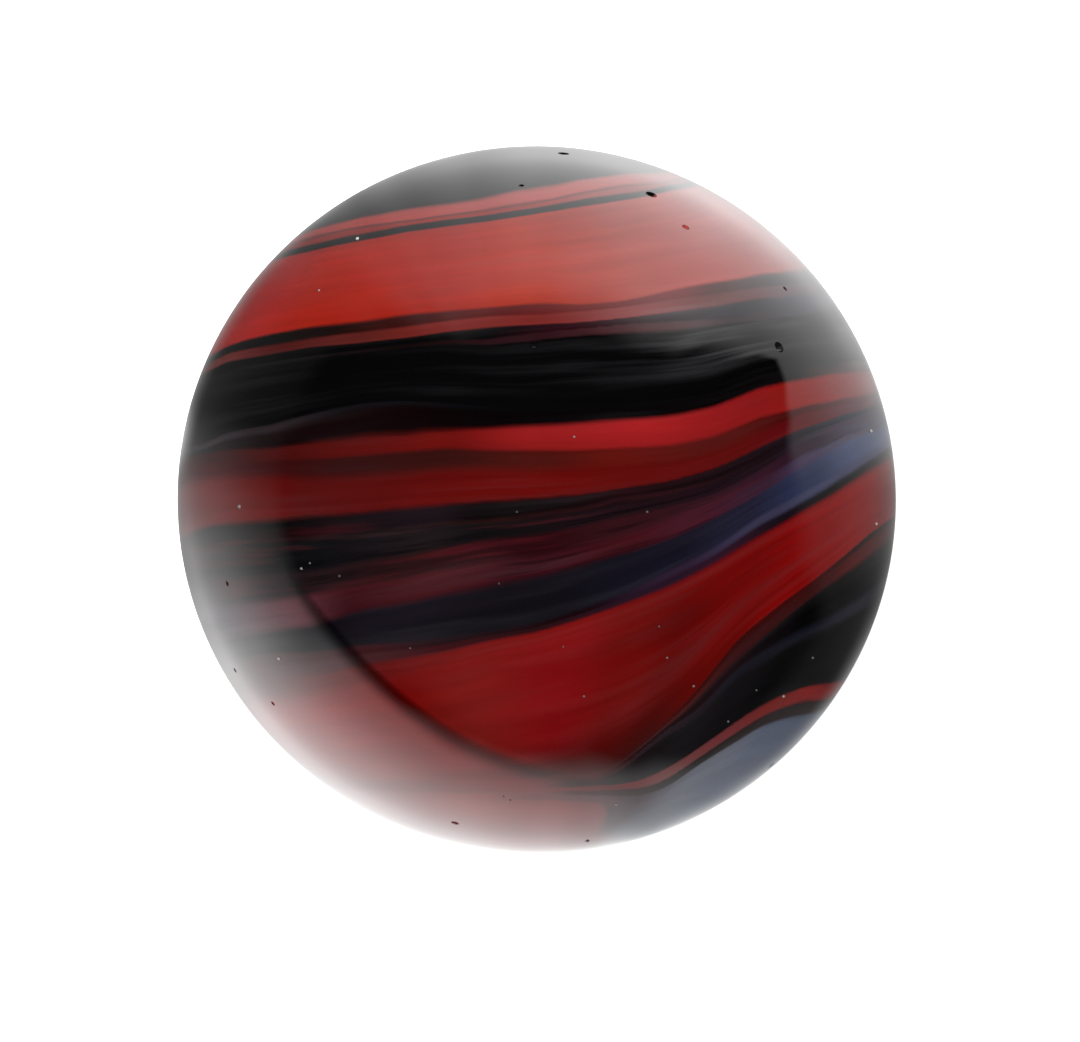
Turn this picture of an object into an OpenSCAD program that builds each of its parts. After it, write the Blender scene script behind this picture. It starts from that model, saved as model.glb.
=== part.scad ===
// Glass swirl marble: one solid ball of red, black and blue glass fused together.
// The ball is a little longer along X, the axis of the glass stream that it was cut from.
// Its skin has a few open bubbles, each a small round pit.

/* [Ball] */
// Diameter across the two short axes
ball_d = 16.0; // [12:0.1:25]
// Extra length along X, which makes the ball slightly out of round
out_of_round = 0.26; // [0:0.02:0.6]

/* [Pits] */
// Width of a large open bubble at the skin
large_pit_w = 0.26; // [0.1:0.02:0.5]
// Width of a middle-sized open bubble at the skin
medium_pit_w = 0.18; // [0.08:0.02:0.4]
// Width of a pinhole at the skin
small_pit_w = 0.12; // [0.06:0.02:0.3]
// Depth of every pit, as a share of its width
pit_depth_share = 0.4; // [0.15:0.05:0.5]

/* [Hidden] */
$fn = 96;

// Where the pits lie: turn about +Z from +X, and angle above the XY plane, both in degrees
large_pits = [[35.2, 38.3], [72.5, 25.2], [88.7, 13.4]];
medium_pits = [[64.4, 30.9], [-45.5, 7.9], [-101, 21.4], [93.9, 65.2]];
small_pits = [[43.4, 25.9], [95.9, 29.4], [-147.3, 16.2], [-139.1, 22.7], [-78.4, 14.8], [-161.6, 28.3]];

short_r = ball_d / 2;
half_stretch = out_of_round / 2;

// Distance from the centre to the skin in the direction [turn, rise]
function skin_r(turn, rise) =
    let (along = abs(cos(rise) * cos(turn)), across = sqrt(1 - along * along))
        along * short_r <= across * half_stretch
            ? short_r / across
            : along * half_stretch + sqrt(short_r * short_r - pow(across * half_stretch, 2));

// The ball before its bubbles are opened: two half balls, drawn apart along X
module ball() {
    rotate([0, 90, 0])
        rotate_extrude()
            intersection() {
                union() {
                    for (end = [-1, 1]) translate([0, end * half_stretch]) circle(r = short_r);
                    square([ball_d, out_of_round], center = true);
                }
                translate([0, -ball_d]) square([ball_d, 2 * ball_d]);
            }
}

// A round cutter that leaves a pit of the given width and depth in the skin
module pit(place, width) {
    depth = width * pit_depth_share;
    cutter_r = (width * width / 4 + depth * depth) / (2 * depth);
    rotate([0, 90 - place[1], place[0]])
        translate([0, 0, skin_r(place[0], place[1]) + cutter_r - depth])
            sphere(r = cutter_r, $fn = 24);
}

module marble() {
    color("firebrick")
        difference() {
            ball();
            for (place = large_pits) pit(place, large_pit_w);
            for (place = medium_pits) pit(place, medium_pit_w);
            for (place = small_pits) pit(place, small_pit_w);
        }
}

marble();
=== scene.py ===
"""A swirled glass marble: red, black and blue glass drawn together in one ball.

Sizes are in millimetres unless a name says otherwise, and mm() turns them into metres.
The streaks of glass run along the ball's X axis, seen from above with +Z towards the eye.
"""

import math

import bpy
import numpy as np
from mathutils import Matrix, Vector


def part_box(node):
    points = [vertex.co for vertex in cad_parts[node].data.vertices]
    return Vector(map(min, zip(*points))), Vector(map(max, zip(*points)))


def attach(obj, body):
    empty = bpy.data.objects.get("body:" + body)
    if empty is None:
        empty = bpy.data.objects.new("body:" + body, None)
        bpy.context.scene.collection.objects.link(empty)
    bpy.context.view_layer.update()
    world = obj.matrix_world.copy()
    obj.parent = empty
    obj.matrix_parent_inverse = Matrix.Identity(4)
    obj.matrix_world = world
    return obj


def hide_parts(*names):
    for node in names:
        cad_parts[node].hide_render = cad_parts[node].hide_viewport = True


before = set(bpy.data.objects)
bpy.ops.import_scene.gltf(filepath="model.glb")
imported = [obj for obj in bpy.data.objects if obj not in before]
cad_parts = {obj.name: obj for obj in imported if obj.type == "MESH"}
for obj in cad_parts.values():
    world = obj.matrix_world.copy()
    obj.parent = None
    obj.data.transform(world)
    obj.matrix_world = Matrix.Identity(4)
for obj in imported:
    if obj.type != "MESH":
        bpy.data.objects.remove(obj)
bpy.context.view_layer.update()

BODY = "root"
NODE = "marble"


def mm(length):
    """A length in millimetres, in metres."""
    return length / 1000


LOW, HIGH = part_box(NODE)
LONG_R = (HIGH[0] - LOW[0]) / 2 / mm(1)
SHORT_R = (HIGH[2] - LOW[2]) / 2 / mm(1)
RADII = np.array([LONG_R, SHORT_R, SHORT_R])

# ---------------------------------------------------------------- camera values

LENS, SENSOR = 300.0, 36.0
VIEW_W = 24.453                              # width of the view at the ball's middle
EYE_HEIGHT = VIEW_W * LENS / SENSOR          # above the ball's middle
AXIS_AT = (0.075, -0.486)                    # where the camera's axis passes the ball's middle
LEAN = math.radians(3.13)                    # the streaks and the camera lean this far off the long axis
OUTLINE_SCALE = 1 / math.sqrt(1 - (SHORT_R / EYE_HEIGHT) ** 2)


def leaned(across, up):
    """A place in the camera's own directions, turned into the ball's X and Y."""
    return (across * math.cos(LEAN) - up * math.sin(LEAN),
            across * math.sin(LEAN) + up * math.cos(LEAN))


# ---------------------------------------------------------------- the glasses, from the top cap down
# Each glass: its name, its colour, the softness of its lower edge, and that lower edge.
# A colour is one hex value, or several at turns about the axis that the streaks circle, which is near Y:
# 0 is the top of the ball, 90 the right-hand rim, -90 the left-hand rim and 180 the underside.
# The edge is a row of places (across, up) in the view from above, from left to right.

BLACK = "#060607"

GLASSES = [
    ("black cap", BLACK, 0.10,
     [(-5.3, 6.0), (-4, 6.35), (-3, 6.54), (-2, 6.67), (-1, 6.88), (0, 7.06), (1, 7.23), (2, 7.38),
      (3.1, 7.5)]),
    ("red under the cap", [(-60, "#A8322B"), (0, "#B04A46"), (30, "#A84A46"), (120, "#A8322B")], 0.05,
     [(-5.4, 5.85), (-4, 6.17), (-3, 6.3), (-1, 6.58), (0, 6.75), (1, 6.95), (2, 7.12), (3.3, 7.3)]),
    ("dark hair", [(-90, "#5A1A18"), (60, "#7A2A28"), (120, "#A8322B")], 0.04,
     [(-5.4, 5.81), (-4, 6.12), (-3, 6.26), (-1, 6.53), (0, 6.70), (1, 6.90), (2, 7.08), (3.3, 7.27)]),
    ("red over the thread", [(-50, "#8D2018"), (-10, "#8D2018"), (20, "#963F3B"), (120, "#8D2018")], 0.05,
     [(-5.6, 5.64), (-5, 5.78), (-4, 5.99), (-3, 6.19), (-2, 6.33), (-1, 6.45), (0, 6.61), (1, 6.78),
      (2, 6.91), (3, 7.12), (3.5, 7.2)]),
    ("dark thread", "#060404", 0.05,
     [(-5.6, 5.5), (-5, 5.62), (-4, 5.83), (-3, 6.03), (-2, 6.17), (-1, 6.3), (0, 6.46), (1, 6.62),
      (2, 6.77), (3, 6.98), (3.5, 7.08)]),
    ("upper red", [(-66, "#AE1F1C"), (-45, "#A81E0C"), (-20, "#A21C0C"), (0, "#A8280F"), (10, "#A53122"),
                   (22, "#A8463D"), (40, "#AE4A44"), (150, "#8E201A")], 0.10,
     [(-7.3, 3.3), (-7, 3.47), (-6, 3.75), (-5, 3.93), (-4, 4.03), (-3, 4.18), (-2, 4.27), (-1, 4.37),
      (0, 4.46), (1, 4.40), (2, 4.50), (3, 4.72), (4, 4.93), (5, 5.10), (6, 5.22)]),
    ("dark streak", [(-57, "#040202"), (-40, "#150806"), (-25, "#350E0C"), (-8, "#530C0C"), (10, "#681A18"),
                     (27, "#6F1D21"), (38, "#471613"), (52, "#2C121E"), (150, "#0C0B0C")], 0.07,
     [(-7.3, 3.12), (-7, 3.28), (-6, 3.47), (-5, 3.65), (-4, 3.79), (-3, 3.90), (-2, 4.03), (-1, 4.16),
      (0, 4.18), (1, 4.25), (2, 4.37), (3, 4.53), (4, 4.65), (5, 4.80), (6.3, 4.95)]),
    ("thin red line", [(-72, "#722C29"), (-50, "#4E0E0C"), (-34, "#5B211D"), (-16, "#772521"),
                       (0, "#772521"), (17, "#853938"), (37, "#672C2C"), (69, "#503643"),
                       (150, "#40110F")], 0.06,
     [(-7.3, 2.95), (-7, 3.10), (-6, 3.29), (-5, 3.46), (-4, 3.54), (-3, 3.65), (-2, 3.79), (-1, 3.90),
      (0, 3.96), (1, 4.00), (2, 4.10), (3, 4.24), (4, 4.38), (5, 4.55), (6.4, 4.72)]),
    ("black strip", [(-10, BLACK), (8, "#2A0A12"), (48, "#1E1C25"), (65, "#3D3A4A"), (120, BLACK)], 0.05,
     [(-7.4, 2.8), (-4, 3.38), (-2, 3.6), (-1, 3.66), (0, 3.79), (1, 3.88), (2, 3.98), (3, 4.03), (4, 4.07),
      (5, 4.2), (6.5, 4.4)]),
    ("maroon strip", [(-60, BLACK), (-25, "#140A0A"), (0, "#2D1419"), (16, "#482629"), (25, "#4D2F31"),
                      (40, "#2E1F26"), (62, "#312C36"), (110, BLACK)], 0.06,
     [(-7.4, 2.77), (-4, 3.32), (-2, 3.52), (-1, 3.5), (0, 3.60), (1, 3.70), (2, 3.75), (3, 3.79),
      (4, 3.94), (5, 4.05), (6.5, 4.25)]),
    ("wide black", [(-80, "#202023"), (-52, BLACK), (120, BLACK)], 0.06,
     [(-8, 1.1), (-7.5, 1.27), (-7, 1.5), (-6.5, 1.62), (-6, 1.7), (-5.5, 1.86), (-5, 1.98), (-4, 2.17),
      (-3, 2.22), (0, 2.05), (3, 2.25), (4, 2.4), (5, 2.8), (6, 3.05), (6.7, 3.1), (7.3, 3.12)]),
    ("grey wisp", [(-67, "#3C353A"), (-50, "#2C2327"), (-31, "#131013"), (0, BLACK), (46, "#0A0809"),
                   (60, "#241A1E"), (72, "#583C40"), (120, BLACK)], 0.08,
     [(-8, 0.97), (-7.5, 1.14), (-7, 1.36), (-6.5, 1.48), (-6, 1.57), (-5.5, 1.73), (-5, 1.86), (-4, 2.07),
      (-3, 2.15), (0, 1.99), (3, 2.18), (4, 2.33), (5, 2.7), (6, 2.95), (7.3, 3.02)]),
    ("lower black", [(-67, "#160A0E"), (-39, "#120506"), (0, "#070405"), (30, "#060405"), (46, "#0C080A"),
                     (70, "#4F3230"), (120, BLACK)], 0.08,
     [(-7.9, 0.95), (-7, 1.12), (-6, 1.15), (-5, 1.30), (-4, 1.38), (-3, 1.44), (-2, 1.56), (-1, 1.63),
      (0, 1.67), (1, 1.72), (2, 1.80), (3, 1.87), (4, 2.08), (4.5, 2.28), (5, 2.50), (5.5, 2.63), (6, 2.72),
      (6.5, 2.81), (7, 2.87), (7.4, 2.9)]),
    ("bright red", [(-60, "#380A0A"), (-45, "#46100F"), (-30, "#54110F"), (-14, "#610F0D"), (0, "#88191A"),
                    (18, "#981C1E"), (35, "#88181A"), (51, "#951A14"), (67, "#953B3B"),
                    (150, "#7A1416")], 0.08,
     [(-7.9, 0.80), (-6, 0.90), (-5, 0.93), (-4, 1.0), (-3, 1.08), (-2, 1.16), (-1, 1.13), (0, 1.13),
      (1, 1.13), (2, 1.17), (3, 1.20), (4, 1.40), (5, 1.83), (6, 2.08), (7, 2.26), (7.6, 2.38)]),
    ("brown red", [(-66, "#440A10"), (-48, "#3A0B0C"), (-30, "#321212"), (-14, "#32100E"), (0, "#42100C"),
                   (14, "#59100B"), (30, "#51120F"), (50, "#470A0A"), (65, "#591D26"),
                   (150, "#4A100E")], 0.24,
     [(-7.9, 0.4), (-7, 0.5), (-6, 0.53), (-5, 0.47), (-3, 0.55), (-2, 0.66), (0, 0.66), (2, 0.76),
      (3, 0.83), (4, 1.05), (5, 1.46), (6, 1.93), (7, 2.14), (7.6, 2.28)]),
    ("red over the black", [(-65, "#6F1818"), (-48, "#610D0A"), (-38, "#571211"), (0, "#5C0A08"),
                            (30, "#570E0D"), (50, "#5D0A11"), (64, "#602936"), (150, "#5A0E10")], 0.09,
     [(-8, -0.8), (-7.5, -0.6), (-7, -0.5), (-6, -0.44), (-5, -0.35), (-4, -0.29), (-3, -0.16), (-2, -0.08),
      (-1, 0.0), (0, 0.05), (1, 0.13), (2, 0.28), (3, 0.42), (4, 0.70), (5, 1.18), (5.5, 1.42), (6, 1.62),
      (6.5, 1.8), (7, 1.95), (7.7, 2.16)]),
    ("upper blue-black", [(-48, "#030303"), (-18, "#1B1217"), (-7, "#0D0709"), (14, "#1B0B0E"),
                          (39, "#1C1015"), (66, "#262A3C"), (150, "#0A0A0C")], 0.06,
     [(-7.9, -1.1), (-5, -0.85), (-4, -0.78), (-3, -0.66), (-2, -0.50), (-1, -0.44), (0, -0.30), (1, -0.17),
      (2, 0.06), (3, 0.2), (4, 0.46), (5, 0.92), (6, 1.45), (7, 1.8), (7.7, 2.06)]),
    ("maroon thread", [(-50, "#120A0B"), (-22, "#2A1C1E"), (-7, "#230E0E"), (7, "#2C1215"), (39, "#1F1014"),
                       (66, "#3C3650"), (150, "#0A0A0C")], 0.06,
     [(-7.9, -1.2), (-5, -0.95), (-4, -0.88), (-3, -0.78), (-2, -0.62), (-1, -0.54), (0, -0.42), (1, -0.30),
      (2, -0.07), (3, 0.08), (4, 0.34), (5, 0.85), (6, 1.4), (7, 1.75), (7.7, 2.0)]),
    ("lower blue-black", [(-68, "#2E2E30"), (-49, "#030303"), (-39, "#0E0E11"), (-18, "#1E171A"),
                          (-7, "#100D0E"), (14, "#1F1015"), (38, "#1F1118"), (66, "#3A344C"),
                          (150, "#0A0A0C")], 0.12,
     [(-7.9, -1.9), (-7, -1.75), (-5, -1.6), (-4, -1.4), (-3, -1.25), (-2, -1.08), (-1, -0.87), (0, -0.8),
      (1, -0.60), (2, -0.36), (3, -0.15), (4, 0.12), (5, 0.65), (6, 1.33), (7, 1.7), (7.75, 1.95)]),
    ("maroon", [(-68, "#34282C"), (-50, "#190810"), (-40, "#23171A"), (-22, "#261213"), (0, "#26080D"),
                (14, "#311217"), (38, "#311924"), (49, "#2A1528"), (66, "#4A4459"), (150, "#1A0C12")], 0.16,
     [(-7.7, -2.5), (-7, -2.4), (-6, -2.3), (-5, -2.15), (-4, -1.97), (-3, -1.82), (-2, -1.58), (-1, -1.38),
      (0, -1.33), (1, -1.1), (2, -0.85), (3, -0.45), (4, -0.08), (5, 0.4), (6, 1.0), (7, 1.5),
      (7.75, 1.8)]),
    ("plum", [(-68, "#4E414C"), (-43, "#5C3038"), (-31, "#391117"), (-18, "#41161A"), (0, "#340C15"),
              (14, "#3A0E15"), (26, "#3F1824"), (38, "#372030"), (48, "#403450"), (65, "#525268"),
              (150, "#2A1018")], 0.16,
     [(-7.6, -3.3), (-7, -3.15), (-6, -3.0), (-5, -2.85), (-4, -2.5), (-3, -2.33), (-2, -2.1), (-1, -1.92),
      (0, -1.74), (1, -1.48), (2, -1.2), (3, -0.88), (4, -0.42), (5, 0.1), (6, 0.75), (7, 1.32),
      (7.8, 1.66)]),
    ("navy", [(-55, "#040405"), (-28, "#17131A"), (0, "#100E13"), (22, "#14121E"), (34, "#1E1D30"),
              (48, "#2D3453"), (63, "#4B567A"), (90, "#5C6A90"), (150, "#141826")], 0.12,
     [(-7.3, -3.9), (-6, -3.47), (-5, -3.45), (-4, -3.3), (-3, -3.25), (-2, -3.12), (-1, -3.0), (0, -2.84),
      (1, -2.52), (2, -2.15), (3, -1.62), (4, -1.12), (5, -0.38), (6, 0.16), (7, 0.74), (7.4, 0.98),
      (7.85, 1.26)]),
    ("pale line", [(-33, "#3E191D"), (-15, "#221115"), (7, "#17060A"), (22, "#2A1B2D"), (38, "#37344B"),
                   (50, "#42445E"), (66, "#504E70"), (100, "#5C668A"), (150, "#1A1822")], 0.10,
     [(-7.2, -4.1), (-6, -3.75), (-5, -3.7), (-4, -3.5), (-3, -3.4), (-2, -3.25), (-1, -3.06), (0, -2.9),
      (1, -2.60), (2, -2.25), (3, -1.78), (4, -1.28), (5, -0.58), (6, -0.05), (7, 0.54), (7.4, 0.82),
      (7.85, 1.14)]),
    ("dark edge", [(-34, "#4A262A"), (-15, "#381418"), (0, "#281014"), (22, "#241422"), (30, "#2C1422"),
                   (42, "#181018"), (55, "#0A080B"), (80, "#0C0A0E"), (150, "#100A0E")], 0.16,
     [(-7.1, -4.3), (-6, -4.0), (-5, -3.95), (-4, -3.75), (-3, -3.6), (-2, -3.42), (-1, -3.17), (0, -3.0),
      (1, -2.70), (2, -2.36), (3, -1.98), (4, -1.48), (5, -0.85), (6, -0.28), (7, 0.3), (7.5, 0.64),
      (7.9, 0.9)]),
    ("dusky red", [(-60, "#4A1C1E"), (-40, "#5A1A1A"), (-25, "#661312"), (-10, "#741412"), (4, "#78100F"),
                   (16, "#6C0D0B"), (35, "#6F0908"), (49, "#870A0A"), (63, "#92100C"), (100, "#861A18"),
                   (150, "#6A1214")], 0.6,
     [(-6.7, -4.75), (-6, -4.6), (-5, -4.5), (-4, -4.25), (-3, -4.0), (-2, -3.8), (-1, -3.5), (0, -3.3),
      (1, -3.0), (2, -2.66), (3, -2.28), (4, -1.8), (5, -1.2), (6, -0.65), (7, -0.1), (7.5, 0.2),
      (7.9, 0.5)]),
    ("lower red", [(-50, "#8A0C08"), (-28, "#790806"), (-13, "#7A1A17"), (4, "#7B0D11"), (16, "#680B09"),
                   (24, "#5C0806"), (35, "#6F0908"), (49, "#870A0A"), (63, "#92100C"), (100, "#861A18"),
                   (150, "#6A1214")], 0.5,
     [(-4.8, -6.1), (-3, -6.1), (-1, -6.0), (0, -5.9), (1, -5.7), (1.9, -5.3), (2.5, -4.9), (3, -4.55),
      (3.7, -3.85), (4.2, -3.25), (5, -2.5), (6, -1.75), (7, -0.98), (7.5, -0.56), (7.95, -0.25)]),
    ("deep red", [(-40, "#7E1414"), (-10, "#6A0E0C"), (8, "#4A0A08"), (22, "#40100E"), (32, "#5C0A08"),
                  (45, "#800A0A"), (63, "#92100C"), (100, "#861A18"), (150, "#6A1214")], 0.06,
     [(-4.8, -6.29), (-3, -6.39), (-1, -6.39), (0, -6.32), (1.5, -6.1), (1.9, -5.9), (2.5, -5.4),
      (3, -4.94), (3.4, -4.59), (3.7, -4.24), (4, -3.84), (4.2, -3.59), (4.5, -3.16), (5, -2.78),
      (5.5, -2.37), (6, -2.01), (6.5, -1.64), (7, -1.21), (7.5, -0.78), (7.95, -0.44)]),
    ("dark line", [(0, "#701414"), (12, "#4A0A08"), (21, "#3A1212"), (35, "#3A0E0D"), (50, "#3E0A0A"),
                   (66, "#240808"), (110, "#300D0D"), (200, "#741315")], 0.06,
     [(-4.8, -6.32), (-3, -6.42), (-1, -6.42), (0, -6.35), (1.5, -6.15), (1.9, -5.95), (2.5, -5.47),
      (3, -5.02), (3.4, -4.67), (3.7, -4.32), (4, -3.93), (4.2, -3.68), (4.5, -3.27), (5, -2.88),
      (5.5, -2.48), (6, -2.12), (6.5, -1.76), (7, -1.35), (7.5, -0.93), (7.95, -0.58)]),
    ("brown edge", [(0, "#701414"), (12, "#520A08"), (22, "#40181A"), (28, "#491514"), (38, "#3A0E0F"),
                    (51, "#400A0A"), (63, "#5A1212"), (110, "#441614"), (200, "#741315")], 0.10,
     [(-4.8, -6.36), (-3, -6.46), (-1, -6.46), (0, -6.4), (1.5, -6.2), (1.9, -6.0), (2.5, -5.52), (3, -5.1),
      (3.4, -4.77), (3.7, -4.45), (4, -4.12), (4.2, -3.95), (4.5, -3.65), (5, -3.24), (5.5, -2.78),
      (6, -2.38), (6.5, -2.0), (7, -1.64), (7.5, -1.3), (7.95, -0.9)]),
    ("black lobe", [(0, "#701414"), (12, "#4C0808"), (24, "#241416"), (36, "#1E1115"), (43, "#110D0F"),
                    (52, "#040405"), (160, "#040405"), (200, "#741315")], 0.10,
     [(-4.8, -6.4), (-3, -6.5), (-1, -6.5), (0, -6.44), (1.5, -6.25), (2, -6.0), (2.7, -5.34), (3, -5.14),
      (3.4, -4.92), (3.7, -4.72), (4, -4.42), (4.2, -4.12), (4.5, -3.82), (5, -3.5), (5.5, -3.2),
      (6, -2.93), (6.5, -2.73), (7, -2.42), (7.5, -2.1), (7.9, -1.7)]),
    ("blue sheen", [(0, "#701414"), (12, "#4A0808"), (26, "#2A2024"), (40, "#1B1921"), (54, "#14151F"),
                    (67, "#282833"), (100, "#2C2C36"), (150, "#0A0A0C"), (200, "#741315")], 0.10,
     [(-4.8, -6.44), (-3, -6.54), (-1, -6.54), (0, -6.48), (1.5, -6.3), (2, -6.1), (2.7, -5.5), (3, -5.3),
      (3.4, -5.1), (3.7, -4.9), (4, -4.6), (4.2, -4.32), (4.5, -4.02), (5, -3.74), (5.5, -3.42), (6, -3.15),
      (6.5, -2.97), (7, -2.7), (7.5, -2.4), (7.9, -2.0)]),
    ("black under the sheen", [(0, "#6C1010"), (12, "#3C0808"), (22, "#1A1214"), (32, "#1C1A1C"),
                               (40, "#151315"), (50, "#0C0C0D"), (90, BLACK), (160, BLACK),
                               (200, "#741315")], 0.05,
     [(-4.8, -6.48), (-3, -6.58), (-1, -6.58), (0, -6.52), (1, -6.48), (1.5, -6.45), (2, -6.42),
      (2.5, -6.30), (3, -6.05), (3.5, -5.73), (4, -5.38), (4.5, -5.02), (5, -4.70), (5.5, -4.43),
      (6, -4.26), (6.7, -4.16), (7.2, -4.1)]),
    ("red streak", [(4, "#701414"), (12, "#7C1C17"), (23, "#6C1819"), (35, "#774040"), (43, "#783235"),
                    (52, "#7E221D"), (63, "#92201F"), (200, "#741315")], 0.05,
     [(-4.8, -6.52), (-3, -6.62), (-1, -6.62), (0, -6.6), (1, -6.6), (2, -6.58), (2.5, -6.53), (3, -6.32),
      (3.5, -5.97), (4, -5.63), (4.5, -5.3), (5, -4.97), (5.5, -4.73), (6, -4.59), (6.7, -4.51),
      (7.2, -4.45)]),
    ("dark line under the streak",
     [(-40, "#7E2C2C"), (0, "#6A1010"), (12, "#4A0808"), (26, "#300C0C"), (38, "#1A1212"), (48, "#241416"),
      (67, "#261618"), (200, "#741315")], 0.08,
     [(-4.8, -6.56), (-3, -6.66), (-1, -6.68), (0, -6.68), (1, -6.70), (2, -6.72), (2.5, -6.68), (3, -6.5),
      (3.5, -6.11), (4, -5.8), (4.5, -5.5), (5, -5.18), (5.5, -4.98), (6, -4.91), (6.8, -4.85)]),
    ("grey-blue", [(-43, "#7E2C2E"), (-20, "#7E2018"), (0, "#610A08"), (16, "#5E3236"), (29, "#48343C"),
                   (44, "#6E7280"), (57, "#616A80"), (120, "#4A566E"), (180, "#2A3040"),
                   (215, "#741315")], 0.45,
     [(-4.8, -6.6), (-3, -6.72), (-1, -6.76), (0.4, -6.8), (1.5, -6.85), (1.6, -7.1), (1.4, -7.5),
      (1.1, -7.9)]),
    ("red foot", [(-49, "#823639"), (-33, "#8B3430"), (-16, "#88261D"), (0, "#86120E"), (25, "#843C3E"),
                  (40, "#883C3C"), (70, "#741315"), (180, "#741315")], 0.1, None),
]

# The hidden half: every edge runs on round the back, and this wave keeps it from being a plain arc
BACK_WAVE = 0.9


def on_ball(across, up):
    """The unit vector, in the ball's own proportions, of what is seen at this place from above."""
    eye = np.array([*leaned(*AXIS_AT), EYE_HEIGHT]) / RADII
    point = np.array([*leaned(across * OUTLINE_SCALE, up * OUTLINE_SCALE), 0.0]) / RADII
    sight = point - eye
    a, half_b, c = sight @ sight, eye @ sight, eye @ eye - 1
    root = max(half_b * half_b - a * c, 0)
    met = eye + sight * (-half_b - math.sqrt(root)) / a
    return met / np.linalg.norm(met)


def turn_and_height(units):
    """Turns in degrees about the axis that the streaks circle, and heights along it, of unit vectors."""
    units = np.atleast_2d(units)
    across = units[:, 0] * math.cos(LEAN) + units[:, 1] * math.sin(LEAN)
    up = units[:, 1] * math.cos(LEAN) - units[:, 0] * math.sin(LEAN)
    return np.degrees(np.arctan2(across, units[:, 2])), up * SHORT_R


TURN_STEP = 0.5                              # degrees
TURNS = np.arange(-180, 180, TURN_STEP)      # the turns at which the edges are worked out
EDGE_GAP = 0.02                              # neighbouring edges never come closer than this
SMOOTHING, REACH = 1.6, 12                   # spread of the smoothing in degrees, and its reach in steps
STEEPEST = 0.014                             # steepest start of a sweep round the back, in mm to a degree


def swept(turns, heights):
    """Heights at each of TURNS: straight from place to place, and one smooth sweep round the hidden side."""
    gap = turns[0] + 360 - turns[-1]
    leave, meet = [min(max((heights[i + 1] - heights[i]) / (turns[i + 1] - turns[i]), -STEEPEST), STEEPEST)
                   for i in (-2, 0)]
    s = (TURNS - turns[-1]) % 360 / gap
    sweep = (heights[-1] * (2 * s ** 3 - 3 * s ** 2 + 1) + heights[0] * (3 * s ** 2 - 2 * s ** 3)
             + gap * leave * (s ** 3 - 2 * s ** 2 + s) + gap * meet * (s ** 3 - s ** 2))
    seen = (TURNS >= turns[0]) & (TURNS <= turns[-1])
    return np.where(seen, np.interp(TURNS, turns, heights), sweep)


def edge_heights():
    """Height of every glass's lower edge at each of TURNS, from the top edge down."""
    kernel = np.exp(-0.5 * (np.arange(-REACH, REACH + 1) * TURN_STEP / SMOOTHING) ** 2)
    kernel /= kernel.sum()
    behind = np.clip(np.abs(TURNS) - 90, 0, 90) / 90
    rows = []
    for *others, places in GLASSES[:-1]:
        turns, heights = turn_and_height(np.array([on_ball(*place) for place in places]))
        order = np.argsort(turns)
        row = swept(turns[order], heights[order])
        row = np.convolve(np.concatenate([row[-REACH:], row, row[:REACH]]), kernel, "valid")
        room = 1 - (row / SHORT_R) ** 2
        row = row + BACK_WAVE * room * np.sin(math.pi * behind) ** 2 * np.sign(TURNS)
        if rows:
            row = np.minimum(row, rows[-1] - EDGE_GAP)
        rows.append(row)
    return np.array(rows)


EDGES = edge_heights()
LEVELS = EDGES.mean(axis=1)                  # each edge's level: its mean height
POLE = SHORT_R + 0.3                         # level and height just beyond either end of the ball


def flow_of(units):
    """Flow coordinates of unit vectors in rows: level across the streaks, then the turn as an x and a z."""
    turn, height = turn_and_height(units)
    edges = [np.full(len(turn), POLE)]
    edges += [np.interp(turn, TURNS, row, period=360) for row in EDGES]
    edges.append(np.full(len(turn), -POLE))
    edges = np.array(edges)
    levels = np.array([POLE, *LEVELS, -POLE])
    band = np.clip((edges > height).sum(axis=0) - 1, 0, len(levels) - 2)
    column = np.arange(len(turn))
    upper, lower = edges[band, column], edges[band + 1, column]
    share = np.clip((upper - height) / (upper - lower), 0, 1)
    level = levels[band] * (1 - share) + levels[band + 1] * share
    round_x = SHORT_R * np.sin(np.radians(turn))
    round_z = SHORT_R * np.cos(np.radians(turn))
    return np.column_stack([level, round_x, round_z])


# ---------------------------------------------------------------- small tools

MATH, VECTOR, RANGE = "ShaderNodeMath", "ShaderNodeVectorMath", "ShaderNodeMapRange"
NOISE, MIX, COMBINE = "ShaderNodeTexNoise", "ShaderNodeMix", "ShaderNodeCombineXYZ"
PLUS, MINUS = {"operation": "ADD"}, {"operation": "SUBTRACT"}
TIMES, TIMES_PLUS = {"operation": "MULTIPLY"}, {"operation": "MULTIPLY_ADD"}
SCALED = {"operation": "SCALE"}
SMOOTH = {"interpolation_type": "SMOOTHSTEP"}
COLOURS = {"data_type": "RGBA"}


def linear(hex_colour, share=1.0):
    """An sRGB hex colour as linear RGBA, made darker by a share."""
    values = [int(hex_colour[i:i + 2], 16) / 255 for i in (1, 3, 5)]
    return [share * (v / 12.92 if v <= 0.04045 else ((v + 0.055) / 1.055) ** 2.4) for v in values] + [1.0]


def add(tree, kind, settings=None, **inputs):
    """Adds a node with its settings and links.

    An input is named by its place, as i0, or by its own name with _ for a space. It takes a value, a socket,
    or a node, which gives its first live output.
    """
    made = tree.nodes.new(kind)
    for name, value in (settings or {}).items():
        setattr(made, name, value)
    for name, value in inputs.items():
        socket = made.inputs[int(name[1:]) if name[1:].isdigit() else name.replace("_", " ")]
        if isinstance(value, bpy.types.Node):
            value = next(output for output in value.outputs if output.enabled)
        if isinstance(value, bpy.types.NodeSocket):
            tree.links.new(value, socket)
        else:
            socket.default_value = value
    return made


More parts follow.
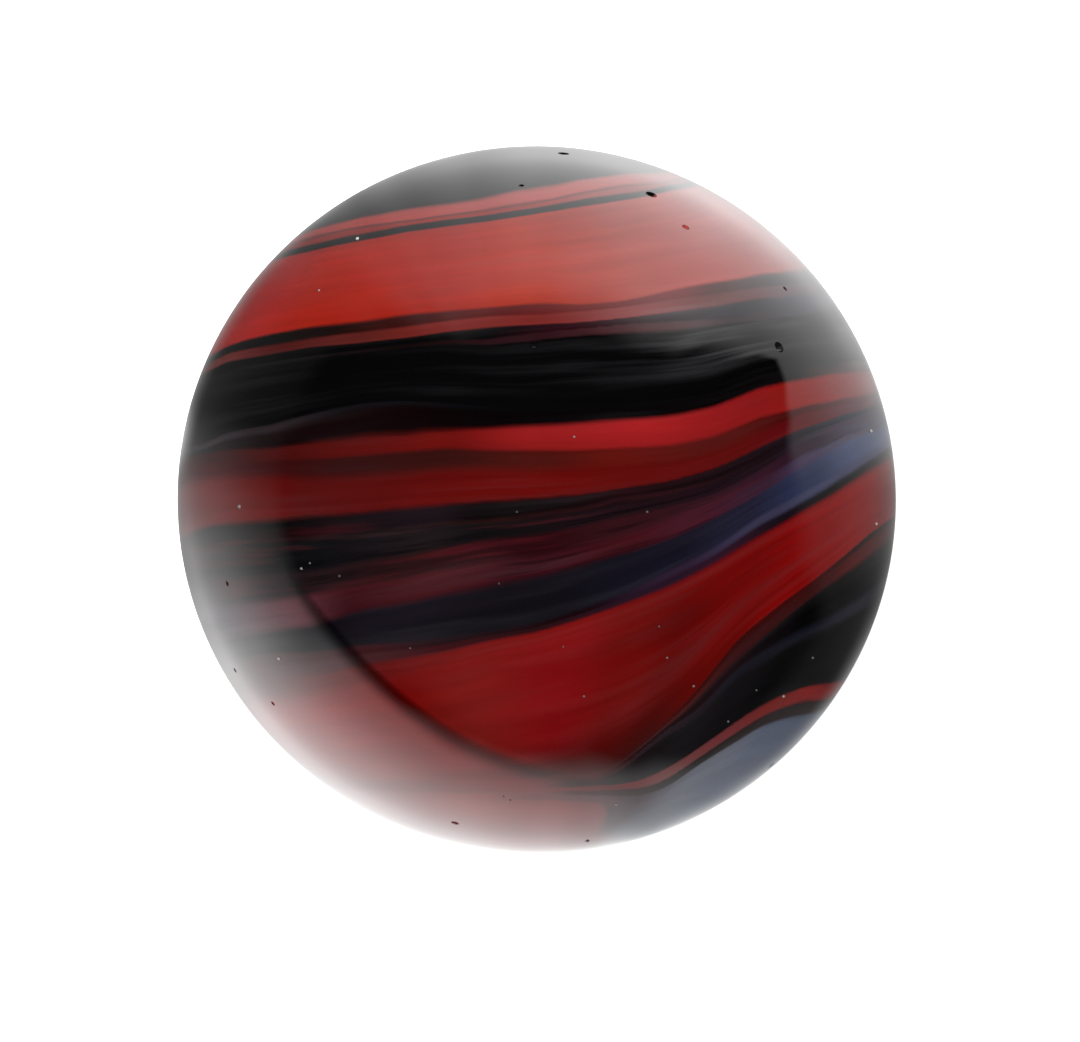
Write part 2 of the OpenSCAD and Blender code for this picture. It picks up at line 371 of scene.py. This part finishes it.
def new_material(name):
    """An empty material and its node tree."""
    material = bpy.data.materials.new(name)
    material.use_nodes = True
    material.node_tree.nodes.clear()
    return material, material.node_tree


def round_ramp(tree, share, stops):
    """A colour that changes smoothly with a share of a full round and closes on itself at the seam."""
    ramp = add(tree, "ShaderNodeValToRGB", i0=share)
    ramp.color_ramp.interpolation = "EASE"
    stops = sorted(stops)
    first, last = stops[0], stops[-1]
    part = (1 - last[0]) / (first[0] + 1 - last[0])
    seam = [a * (1 - part) + b * part for a, b in zip(last[1], first[1])]
    elements = ramp.color_ramp.elements
    elements[0].position, elements[0].color = 0.0, seam
    elements[1].position, elements[1].color = 1.0, seam
    for place, colour in stops:
        if place > 0:
            elements.new(place).color = colour
    return ramp


def linked(name, data):
    """A new object in the scene."""
    made = bpy.data.objects.new(name, data)
    bpy.context.scene.collection.objects.link(made)
    return made


# ---------------------------------------------------------------- swirl glass

HIGH_KEY = 0.333                             # albedo for each unit of brightness under the studio's light
WAVER, FRAY = 0.06, 0.05                     # how far the edges wander, slowly and from hair to hair
DARKEST_STREAK, PALEST_STREAK = 0.82, 1.17   # shares of the glass's own colour
DARKEST_CLOUD, PALEST_CLOUD = 0.90, 1.10
WINE_SHARE, SOOT_SHARE = 0.4, 0.7            # strength of the hairs in the folded dark glasses
MILK_SHARE, MORE_MILK = 0.02, 0.34           # strength of the milky threads, and how much the right rim adds
GLASS_ROUGHNESS, GLASS_IOR = 0.04, 1.52


def swirl_glass():
    """Soda-lime glass, opaque red, black and blue drawn together hot: fire-polished, so its gloss is high."""
    material, tree = new_material("swirl_glass")
    flow = add(tree, "ShaderNodeAttribute", {"attribute_name": "flow"}).outputs["Vector"]
    level, round_x, round_z = add(tree, "ShaderNodeSeparateXYZ", i0=flow).outputs
    turn = add(tree, MATH, {"operation": "ARCTAN2"}, i0=round_x, i1=round_z)
    turn = add(tree, MATH, TIMES_PLUS, i0=turn, i1=0.5 / math.pi, i2=0.5)

    def drawn(across, along, detail, roughness=0.5):
        """Noise drawn out along the streaks, with lumps this many millimetres across and along them."""
        place = add(tree, VECTOR, TIMES, i0=flow, i1=(1 / across, 1 / along, 1 / along))
        return add(tree, NOISE, i0=place, i2=1.0, i3=detail, i4=roughness)

    waver = add(tree, MATH, MINUS, i0=drawn(1.2, 3.0, 2.0), i1=0.5)
    fray = add(tree, MATH, MINUS, i0=drawn(0.16, 2.4, 3.0, 0.6), i1=0.5)
    level = add(tree, MATH, TIMES_PLUS, i0=waver, i1=WAVER, i2=level)
    level = add(tree, MATH, TIMES_PLUS, i0=fray, i1=FRAY, i2=level)

    colour, half = None, None
    for (name, shades, softness, places), edge in zip(GLASSES, [None, *LEVELS]):
        if isinstance(shades, str):
            glass = linear(shades, HIGH_KEY)
        else:
            glass = round_ramp(tree, turn, [((angle + 180) % 360 / 360, linear(shade, HIGH_KEY))
                                            for angle, shade in shades])
        if colour:
            below = add(tree, RANGE, SMOOTH, i0=level, i1=edge + half, i2=edge - half)
            glass = add(tree, MIX, COLOURS, i0=below, i6=colour, i7=glass)
        colour, half = glass, softness / 2

    # Noise lies mostly between 0.25 and 0.75, so the limits here and below say how much of it counts
    streaks = add(tree, RANGE, i0=drawn(0.2, 7.0, 4.0, 0.65), i1=0.25, i2=0.75,
                  i3=DARKEST_STREAK, i4=PALEST_STREAK)
    clouds = add(tree, RANGE, i0=drawn(1.5, 4.0, 3.0), i1=0.3, i2=0.7, i3=DARKEST_CLOUD, i4=PALEST_CLOUD)
    tone = add(tree, MATH, TIMES, i0=streaks, i1=clouds)
    colour = add(tree, MIX, {"data_type": "RGBA", "blend_type": "MULTIPLY"}, i0=1.0, i6=colour, i7=tone)

    # Wine-red and black hairs where the dark glasses were folded together, between the reds
    level_of = dict(zip([name for name, *others in GLASSES], LEVELS))
    top, bottom = level_of["red over the black"], level_of["plum"]
    over = add(tree, RANGE, SMOOTH, i0=level, i1=bottom - 0.3, i2=bottom + 0.3)
    under = add(tree, RANGE, SMOOTH, i0=level, i1=top, i2=top - 0.2)
    folded = add(tree, MATH, TIMES, i0=over, i1=under)
    wine = add(tree, RANGE, SMOOTH, i0=drawn(0.24, 6.0, 3.0, 0.6), i1=0.5, i2=0.70)
    soot = add(tree, RANGE, SMOOTH, i0=drawn(0.28, 5.0, 3.0, 0.6), i1=0.46, i2=0.3)
    for hairs, share, shade in ((wine, WINE_SHARE, "#5C1A22"), (soot, SOOT_SHARE, BLACK)):
        hairs = add(tree, MATH, TIMES, i0=add(tree, MATH, TIMES, i0=hairs, i1=folded), i1=share)
        colour = add(tree, MIX, COLOURS, i0=hairs, i6=colour, i7=linear(shade, HIGH_KEY))

    # Milky threads, thinner than the streaks: faint everywhere, plain in the wide black towards the right rim
    threads = add(tree, RANGE, SMOOTH, i0=drawn(0.28, 9.0, 3.0, 0.6), i1=0.40, i2=0.72)
    patches = add(tree, RANGE, SMOOTH, i0=drawn(0.8, 6.0, 2.0), i1=0.34, i2=0.62)
    top, bottom = level_of["upper red"], level_of["black strip"] - 0.6
    limits = [(turn, 0.5 + 12 / 360, 0.5 + 50 / 360), (turn, 0.5 + 150 / 360, 0.5 + 90 / 360),
              (level, top + 0.3, top - 0.1), (level, bottom - 0.6, bottom)]
    right = 1.0
    for measure, none_at, full_at in limits:
        within = add(tree, RANGE, SMOOTH, i0=measure, i1=none_at, i2=full_at)
        right = add(tree, MATH, TIMES, i0=right, i1=within)
    strength = add(tree, MATH, TIMES_PLUS, i0=right, i1=MORE_MILK, i2=MILK_SHARE)
    veil = add(tree, MATH, TIMES, i0=add(tree, MATH, TIMES, i0=threads, i1=patches), i1=strength)
    colour = add(tree, MIX, COLOURS, i0=veil, i6=colour, i7=linear("#A8A6AC", HIGH_KEY))

    shader = add(tree, "ShaderNodeBsdfPrincipled", Base_Color=colour,
                 Roughness=GLASS_ROUGHNESS, IOR=GLASS_IOR)
    add(tree, "ShaderNodeOutputMaterial", Surface=shader)
    return material


# ---------------------------------------------------------------- the ball

PIT_DEPTH_SHARE = 0.4                        # depth of an open bubble, as a share of its width
# Open bubbles at the skin: turn from +X about +Z, rise above the XY plane, width
PITS = [(35.2, 38.3, 0.26), (72.5, 25.2, 0.26), (88.7, 13.4, 0.26),
        (64.4, 30.9, 0.18), (-45.5, 7.9, 0.18), (-101, 21.4, 0.18), (93.9, 65.2, 0.18),
        (43.4, 25.9, 0.12), (95.9, 29.4, 0.12), (-147.3, 16.2, 0.12), (-139.1, 22.7, 0.12),
        (-78.4, 14.8, 0.12), (-161.6, 28.3, 0.12)]
FACES_ALONG = 124                            # faces along each side of the cube that is blown up to the ball
MERGE_WITHIN = 0.002                         # joins the cube's sides
RIPPLE, RIPPLE_LENGTH = 0.0025, 3.2          # the rolled skin's unevenness, which is slight, and its spacing


def direction(turn, rise):
    """A unit vector from its turn about +Z and its rise, in degrees."""
    t, r = math.radians(turn), math.radians(rise)
    return np.array([math.cos(r) * math.cos(t), math.cos(r) * math.sin(t), math.sin(r)])


def loose_points(name, places, **numbers):
    """An object of bare points, in metres, that carries rows of numbers as attributes."""
    mesh = bpy.data.meshes.new(name)
    mesh.from_pydata([tuple(place) for place in places], [], [])
    for attribute, values in numbers.items():
        mesh.attributes.new(attribute, "FLOAT", "POINT").data.foreach_set("value", values)
    return linked(name, mesh)


def pit_cutters():
    """One point for each pit: where its round cutter stands, and the cutter's radius."""
    places, radii = [], []
    for turn, rise, width in PITS:
        depth = width * PIT_DEPTH_SHARE
        cutter_r = (width * width / 4 + depth * depth) / (2 * depth)
        way = direction(turn, rise)
        skin = 1 / np.linalg.norm(way / RADII)
        places.append(way * (skin + cutter_r - depth) * mm(1))
        radii.append(mm(cutter_r))
    return loose_points("pit_cutters", places, ball_r=radii)


def new_tree(name, inputs):
    """An empty Geometry Nodes tree with these named inputs, and the sockets that give them."""
    tree = bpy.data.node_groups.new(name, "GeometryNodeTree")
    tree.interface.new_socket("Geometry", in_out="OUTPUT", socket_type="NodeSocketGeometry")
    for each in inputs:
        tree.interface.new_socket(each, in_out="INPUT", socket_type="NodeSocketFloat")
    return tree, add(tree, "NodeGroupInput").outputs


def at_points(tree, points, globe, size=1.0):
    """A globe at each of the points, with its ball_r times the size as its radius."""
    seats = add(tree, "GeometryNodeObjectInfo", i0=points).outputs["Geometry"]
    radius = add(tree, "GeometryNodeInputNamedAttribute", {"data_type": "FLOAT"}, i0="ball_r")
    radius = add(tree, MATH, TIMES, i0=radius, i1=size)
    placed = add(tree, "GeometryNodeInstanceOnPoints", Points=seats, Instance=globe, Scale=radius)
    return add(tree, "GeometryNodeRealizeInstances", i0=placed)


def made_by_nodes(name, tree, shape, material, values):
    """A new object: the shape that the tree makes with these values of its named inputs, in this material."""
    whole = add(tree, "GeometryNodeRealizeInstances", i0=shape)
    dressed = add(tree, "GeometryNodeSetMaterial", Geometry=whole, Material=material)
    add(tree, "NodeGroupOutput", i0=dressed)
    carrier = linked(name + "_carrier", bpy.data.meshes.new(name + "_carrier"))
    modifier = carrier.modifiers.new(name, "NODES")
    modifier.node_group = tree
    for item in tree.interface.items_tree:
        if item.in_out == "INPUT":
            modifier[item.identifier] = values[item.name]
    depsgraph = bpy.context.evaluated_depsgraph_get()
    mesh = bpy.data.meshes.new_from_object(carrier.evaluated_get(depsgraph))
    mesh.name = name
    bpy.data.objects.remove(carrier)
    return linked(name, mesh)


def build_ball(glass):
    """The ball: a cube blown up round, rippled a little, with its pits cut."""
    values = {"Long radius": mm(LONG_R), "Short radius": mm(SHORT_R),
              "Ripple": mm(RIPPLE), "Ripples in a metre": 1 / mm(RIPPLE_LENGTH)}
    tree, given = new_tree("glass_ball", values)
    points = FACES_ALONG + 1
    cube = add(tree, "GeometryNodeMeshCube", i0=(2, 2, 2), i1=points, i2=points, i3=points)
    where = add(tree, "GeometryNodeInputPosition")
    even = add(tree, VECTOR, SCALED, i0=where, i3=math.pi / 4)
    even = add(tree, VECTOR, {"operation": "TANGENT"}, i0=even)
    unit = add(tree, VECTOR, {"operation": "NORMALIZE"}, i0=even)
    short = given["Short radius"]
    radii = add(tree, COMBINE, i0=given["Long radius"], i1=short, i2=short)
    skin = add(tree, VECTOR, TIMES, i0=unit, i1=radii)
    ball = add(tree, "GeometryNodeSetPosition", i0=cube, i2=skin)

    ripple = add(tree, NOISE, i0=where, i2=given["Ripples in a metre"], i3=1.0)
    ripple = add(tree, MATH, MINUS, i0=ripple, i1=0.5)
    rise = add(tree, MATH, TIMES, i0=ripple, i1=given["Ripple"])
    push = add(tree, VECTOR, SCALED, i0=add(tree, "GeometryNodeInputNormal"), i3=rise)
    ball = add(tree, "GeometryNodeSetPosition", i0=ball, i3=push)
    merged = add(tree, "GeometryNodeMergeByDistance", i0=ball, i2=mm(MERGE_WITHIN))

    cutters = pit_cutters()
    globes = at_points(tree, cutters, add(tree, "GeometryNodeMeshIcoSphere", i0=1.0, i1=4))
    cut = add(tree, "GeometryNodeMeshBoolean", {"operation": "DIFFERENCE", "solver": "EXACT"},
              i0=merged, i1=globes)
    rims = cut.outputs[1]
    smooth = add(tree, "GeometryNodeSetShadeSmooth", {"domain": "FACE"}, i0=cut)
    crisp = add(tree, "GeometryNodeSetShadeSmooth", {"domain": "EDGE"}, i0=smooth, i1=rims, i2=False)
    flat = add(tree, "GeometryNodeTriangulate", i0=crisp)
    made = made_by_nodes("swirl_marble", tree, flat, glass, values)
    bpy.data.objects.remove(cutters)

    mesh = made.data
    places = np.empty(len(mesh.vertices) * 3)
    mesh.vertices.foreach_get("co", places)
    units = places.reshape(-1, 3) / mm(RADII)
    units /= np.linalg.norm(units, axis=1)[:, None]
    mesh.attributes.new("flow", "FLOAT_VECTOR", "POINT").data.foreach_set("vector", flow_of(units).ravel())
    return made


# Specks on the skin: places in the view from above, width, and paleness from 0, near black, to 1, near white
GRAINS = [(-4.05, 5.9, 0.08, 0.9), (-4.92, 4.73, 0.05, 0.5), (-6.72, -0.16, 0.09, 0.3),
          (-5.32, -1.56, 0.06, 0.35), (-5.13, -1.44, 0.05, 0.2), (-4.46, -1.73, 0.06, 0.1),
          (-5.83, -3.6, 0.07, 0.6), (0.85, 1.42, 0.05, 0.35), (-0.45, -0.28, 0.05, 0.1),
          (-0.85, -1.9, 0.05, 0.08), (2.5, -0.28, 0.06, 0.12), (-2.86, -3.36, 0.05, 0.1),
          (1.07, -4.45, 0.05, 0.2), (0.6, -3.33, 0.04, 0.15), (2.95, -3.58, 0.05, 0.2),
          (3.55, -4.22, 0.06, 0.2), (4.97, -4.31, 0.05, 0.15), (5.58, -4.45, 0.07, 0.4),
          (6.24, -3.58, 0.06, 0.15), (4.33, -5.02, 0.05, 0.2), (7.56, 1.55, 0.08, 0.6),
          (7.68, -0.55, 0.07, 0.5), (2.77, -2.87, 0.04, 0.15), (1.8, -6.9, 0.06, 0.4),
          (-1.85, -7.32, 0.06, 0.1), (1.15, -7.72, 0.07, 0.1), (-0.6, -6.8, 0.04, 0.1),
          (-0.75, -6.72, 0.04, 0.1)]


def skin_grains():
    """Tiny specks on the skin, from near black to near white: matt."""
    material, tree = new_material("pale_and_dark_specks")
    paleness = add(tree, "ShaderNodeAttribute", {"attribute_name": "paleness"}).outputs["Fac"]
    soot, pale_speck = linear("#141214", HIGH_KEY), linear("#E8E4E0", HIGH_KEY)
    colour = add(tree, MIX, COLOURS, i0=paleness, i6=soot, i7=pale_speck)
    shader = add(tree, "ShaderNodeBsdfPrincipled", Base_Color=colour, Roughness=0.6)
    add(tree, "ShaderNodeOutputMaterial", Surface=shader)
    return material


def build_grains(stuff):
    """All the grains, each a lumpy globe sunk to its middle in the skin."""
    across, up, widths, paleness = zip(*GRAINS)
    places = [on_ball(*place) * mm(RADII) for place in zip(across, up)]
    radii = [mm(width / 2) for width in widths]
    seats = loose_points("grain_places", places, ball_r=radii, paleness=paleness)
    values = {"Size": 1.0, "Lumpiness": 0.7}
    tree, given = new_tree("skin_grains", values)
    globe = add(tree, "GeometryNodeMeshIcoSphere", i0=1.0, i1=2)
    lump = add(tree, NOISE, i2=1.4, i3=1.0).outputs[1]
    lump = add(tree, VECTOR, MINUS, i0=lump, i1=(0.5, 0.5, 0.5))
    lump = add(tree, VECTOR, SCALED, i0=lump, i3=given["Lumpiness"])
    globe = add(tree, "GeometryNodeSetPosition", i0=globe, i3=lump)
    made = made_by_nodes("skin_grains", tree, at_points(tree, seats, globe, given["Size"]), stuff, values)
    bpy.data.objects.remove(seats)
    return made


# ---------------------------------------------------------------- stage, lights and camera

TABLE_HALF = 3000                            # half the side of the table top
SCRIM_AWAY, SCRIM_HIGH = 22, 40              # the scrim's distance from the ball's middle and its height
SCRIM_STEP = 3                               # degrees from one upright edge of the scrim to the next
SHEET_HALF, SHEET_GAP = 24, 0.05             # half side of the glowing sheet, and its height over the table
NEAR, FAR = 8.5, 15                          # the sheet's NEAR_SHARE fades out between these distances
BLEND_LOW, BLEND_HIGH = 2, 17                # heights between which the low glow gives way to the high glow

# What the glass is given to mirror, as radiance by bearing: low down, near the table top, and higher up.
# Bearings are in degrees, 0 at the right and 90 up in the camera's view.
LOW_GLOW = [(0, 0.28), (12, 0.6), (20, 0.9), (30, 1.2), (36, 1.45), (42, 1.75), (48, 2.0), (60, 2.35),
            (75, 2.15), (90, 1.85), (102, 1.3), (114, 0.75), (122, 0.45), (132, 0.22), (145, 0.11),
            (163, 0.07), (174, 0.3), (180, 0.5), (190, 0.95), (200, 1.45), (210, 2.05), (222, 2.3),
            (240, 2.4), (255, 2.1), (270, 1.75), (280, 1.2), (290, 0.65), (303, 0.35), (315, 0.15),
            (328, 0.05), (342, 0.08)]
HIGH_GLOW = [(0, 0.15), (12, 0.5), (30, 0.55), (36, 0.7), (42, 1.0), (48, 1.5), (60, 1.8), (75, 1.8),
             (90, 1.5), (102, 1.15), (114, 0.85), (120, 0.6), (130, 0.22), (140, 0.03), (172, 0.02),
             (180, 0.05), (190, 0.15), (200, 0.25), (210, 0.32), (220, 0.75), (235, 0.9), (255, 0.8),
             (275, 0.75), (285, 0.5), (295, 0.2), (310, 0.02)]
# The height above the table top that the glow reaches, and the softness of its edge there, as a share of it
GLOW_TOP = [(0, 13.5), (12, 13.8), (20, 12.4), (28, 10.8), (31, 10.5), (33, 12), (36, 15), (42, 17),
            (48, 20), (60, 21.5), (90, 21.5), (114, 22.5), (120, 20.5), (130, 16.5), (140, 14), (180, 14),
            (225, 15), (240, 14.4), (255, 13), (265, 12), (280, 11.3), (292, 8), (302, 4.5), (335, 4.5),
            (350, 12)]
GLOW_SOFT = [(0, 0.16), (12, 0.07), (30, 0.05), (42, 0.2), (60, 0.25), (120, 0.25), (140, 0.12), (200, 0.1),
             (235, 0.1), (255, 0.2), (290, 0.3), (305, 0.7), (335, 0.7), (348, 0.25)]
# How bright the glowing sheet is nearest the ball, as a share of the low glow
NEAR_SHARE = [(0, 0.95), (30, 0.62), (45, 0.55), (60, 0.42), (90, 0.45), (120, 0.8), (135, 2.2), (148, 3.6),
              (165, 4.5), (178, 0.8), (190, 0.35), (215, 0.4), (240, 0.6), (270, 0.85), (285, 1.2),
              (303, 2.0), (315, 3.6), (328, 7.0), (342, 2.6), (352, 1.2)]

# A thin black wire held just over the glass: places in the view from above, height over the skin, thickness
WIRE = [(-5.75, -0.6, 0.45, 0.04), (-5.42, -1.55, 0.45, 0.2), (-4.72, -2.5, 0.45, 0.3),
        (-3.72, -3.65, 0.45, 0.32), (-2.3, -4.85, 0.45, 0.32), (-0.95, -5.55, 0.5, 0.3),
        (0.65, -6.0, 0.5, 0.26), (2.0, -6.15, 0.6, 0.1)]
WIRE_R = 0.5                                 # the wire's radius where its thickness is 1


def stage_piece(name, corners, faces, material):
    """A piece of the studio, with its corners in metres."""
    mesh = bpy.data.meshes.new(name)
    mesh.from_pydata(corners, [], faces)
    mesh.materials.append(material)
    made = linked(name, mesh)
    return made


def level_square(name, half, height, material):
    """A level square under the ball, with its half side and its height above the table top."""
    side, z = mm(half), LOW[2] + mm(height)
    return stage_piece(name, [(-side, -side, z), (side, -side, z), (side, side, z), (-side, side, z)],
                       [(0, 1, 2, 3)], material)


def pale_floor():
    """A table top of white laminate under the ball: matt, with a weak sheen."""
    material, tree = new_material("white_laminate")
    shader = add(tree, "ShaderNodeBsdfPrincipled", Base_Color=linear("#F2F2F0"), Roughness=0.8,
                 Specular_IOR_Level=0.2)
    add(tree, "ShaderNodeOutputMaterial", Surface=shader)
    level_square("table_top", TABLE_HALF, 0, material)


def round_the_ball(tree):
    """Bearing round the ball, as a share of a full round, and the Object coordinates x, y and z."""
    x, y, z = add(tree, "ShaderNodeSeparateXYZ", i0=add(tree, "ShaderNodeTexCoord").outputs["Object"]).outputs
    bearing = add(tree, MATH, MINUS, i0=add(tree, MATH, {"operation": "ARCTAN2"}, i0=y, i1=x), i1=LEAN)
    bearing = add(tree, MATH, TIMES_PLUS, i0=bearing, i1=0.5 / math.pi, i2=1.0)
    return add(tree, MATH, {"operation": "FRACT"}, i0=bearing), x, y, z


def by_bearing(tree, bearing, stops):
    """A value that changes smoothly with the bearing, from stops of degrees and value."""
    biggest = max(value for angle, value in stops)
    greys = [(angle / 360, (value / biggest,) * 3 + (1,)) for angle, value in stops]
    return add(tree, MATH, TIMES, i0=round_ramp(tree, bearing, greys), i1=biggest)


def mirror_only(piece):
    """The glass mirrors this piece of the studio; nothing else sees it, and it throws no shadow."""
    piece.visible_camera = piece.visible_diffuse = piece.visible_shadow = piece.visible_transmission = False


def glowing_base():
    """A graded glowing sheet laid round the ball, which only the glass mirrors: its rim light."""
    material, tree = new_material("graded_light_sheet")
    bearing, x, y, z = round_the_ball(tree)
    away = add(tree, VECTOR, {"operation": "LENGTH"}, i0=add(tree, COMBINE, i0=x, i1=y))
    near = by_bearing(tree, bearing, NEAR_SHARE)
    share = add(tree, RANGE, SMOOTH, i0=away, i1=mm(NEAR), i2=mm(FAR), i3=near, i4=1.0)
    light = add(tree, MATH, TIMES, i0=by_bearing(tree, bearing, LOW_GLOW), i1=share)
    lamp = add(tree, "ShaderNodeEmission", i0=(1, 1, 1, 1), i1=light)
    add(tree, "ShaderNodeOutputMaterial", Surface=lamp)
    mirror_only(level_square("glowing_base", SHEET_HALF, SHEET_GAP, material))


def glowing_scrim():
    """A lit scrim bent round the set, which only the glass mirrors: the haze at its top and lower left."""
    material, tree = new_material("lit_scrim")
    bearing, x, y, z = round_the_ball(tree)
    height = add(tree, MATH, {"operation": "DIVIDE"}, i0=add(tree, MATH, MINUS, i0=z, i1=LOW[2]), i1=mm(1))
    share = add(tree, MATH, {"operation": "DIVIDE"}, i0=height, i1=by_bearing(tree, bearing, GLOW_TOP))
    soft = by_bearing(tree, bearing, GLOW_SOFT)
    dark_at = add(tree, MATH, PLUS, i0=1.0, i1=soft)
    full_at = add(tree, MATH, MINUS, i0=1.0, i1=soft)
    reach = add(tree, RANGE, SMOOTH, i0=share, i1=dark_at, i2=full_at)
    low, high = by_bearing(tree, bearing, LOW_GLOW), by_bearing(tree, bearing, HIGH_GLOW)
    glow = add(tree, RANGE, SMOOTH, i0=height, i1=BLEND_LOW, i2=BLEND_HIGH, i3=low, i4=high)
    lamp = add(tree, "ShaderNodeEmission", i0=(1, 1, 1, 1), i1=add(tree, MATH, TIMES, i0=glow, i1=reach))
    add(tree, "ShaderNodeOutputMaterial", Surface=lamp)
    ways = [direction(turn, 0) * mm(SCRIM_AWAY) for turn in range(0, 360, SCRIM_STEP)]
    corners = [(way[0], way[1], z) for way in ways for z in (LOW[2], LOW[2] + mm(SCRIM_HIGH))]
    count = len(corners)
    faces = [(i, (i + 2) % count, (i + 3) % count, i + 1) for i in range(0, count, 2)]
    mirror_only(stage_piece("glowing_scrim", corners, faces, material))


def shade_wire():
    """The wire, unseen by the camera, that lays a soft dark line along the inner edge of the haze."""
    material, tree = new_material("black_wire")
    add(tree, "ShaderNodeOutputMaterial", Surface=add(tree, "ShaderNodeBsdfDiffuse", i0=(0, 0, 0, 1)))
    curve = bpy.data.curves.new("shade_wire", "CURVE")
    curve.dimensions, curve.bevel_depth, curve.bevel_resolution = "3D", mm(WIRE_R), 2
    spline = curve.splines.new("NURBS")
    spline.points.add(len(WIRE) - 1)
    for point, (across, up, over, thick) in zip(spline.points, WIRE):
        point.radius = thick
        point.co = (*(on_ball(across, up) * mm(RADII + over)), 1)
    spline.order_u, spline.use_endpoint_u, spline.resolution_u = 4, True, 8
    shape = bpy.data.objects.new("shade_wire_shape", curve)
    mesh = bpy.data.meshes.new_from_object(shape)
    bpy.data.objects.remove(shape)
    mesh.materials.clear()
    mesh.materials.append(material)
    wire = linked("shade_wire", mesh)
    wire.visible_camera = wire.visible_glossy = wire.visible_transmission = False


def pool_light(power, bearing, rise, away, half_angle, size):
    """A spot that throws a soft-edged pool of light round the ball."""
    light = bpy.data.lights.new("pool_light", "SPOT")
    light.energy, light.shadow_soft_size = power, mm(size)
    light.spot_size, light.spot_blend = math.radians(2 * half_angle), 1.0
    made = linked("pool_light", light)
    way = Vector(direction(bearing + math.degrees(LEAN), rise))
    made.location = way * mm(away)
    made.rotation_euler = way.to_track_quat("Z", "Y").to_euler()
    made.visible_camera = made.visible_glossy = False


def studio():
    """A bright room that the glass doesn't mirror, a pool of light, and a scrim and sheet that it does."""
    world = bpy.data.worlds.new("bright_room")
    bpy.context.scene.world = world
    world.use_nodes = True
    world.node_tree.nodes["Background"].inputs[0].default_value = (1, 1, 1, 1)
    world.cycles_visibility.glossy = False
    pool_light(power=3.2, bearing=125, rise=84, away=160, half_angle=18, size=35)
    glowing_scrim()
    glowing_base()
    shade_wire()


def look_down():
    """The camera, straight above the ball."""
    data = bpy.data.cameras.new("camera")
    data.lens, data.sensor_width, data.sensor_fit = LENS, SENSOR, "HORIZONTAL"
    data.clip_start, data.clip_end = mm(10), mm(10000)
    camera = linked("camera", data)
    camera.location = (*[mm(v) for v in leaned(*AXIS_AT)], mm(EYE_HEIGHT))
    camera.rotation_euler = (0, 0, LEAN)
    bpy.context.scene.camera = camera


look_down()
studio()
pale_floor()
marble = build_ball(swirl_glass())
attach(marble, BODY)
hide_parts(NODE)
grains = build_grains(skin_grains())
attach(grains, BODY)

bpy.context.scene.view_settings.view_transform = "Standard"
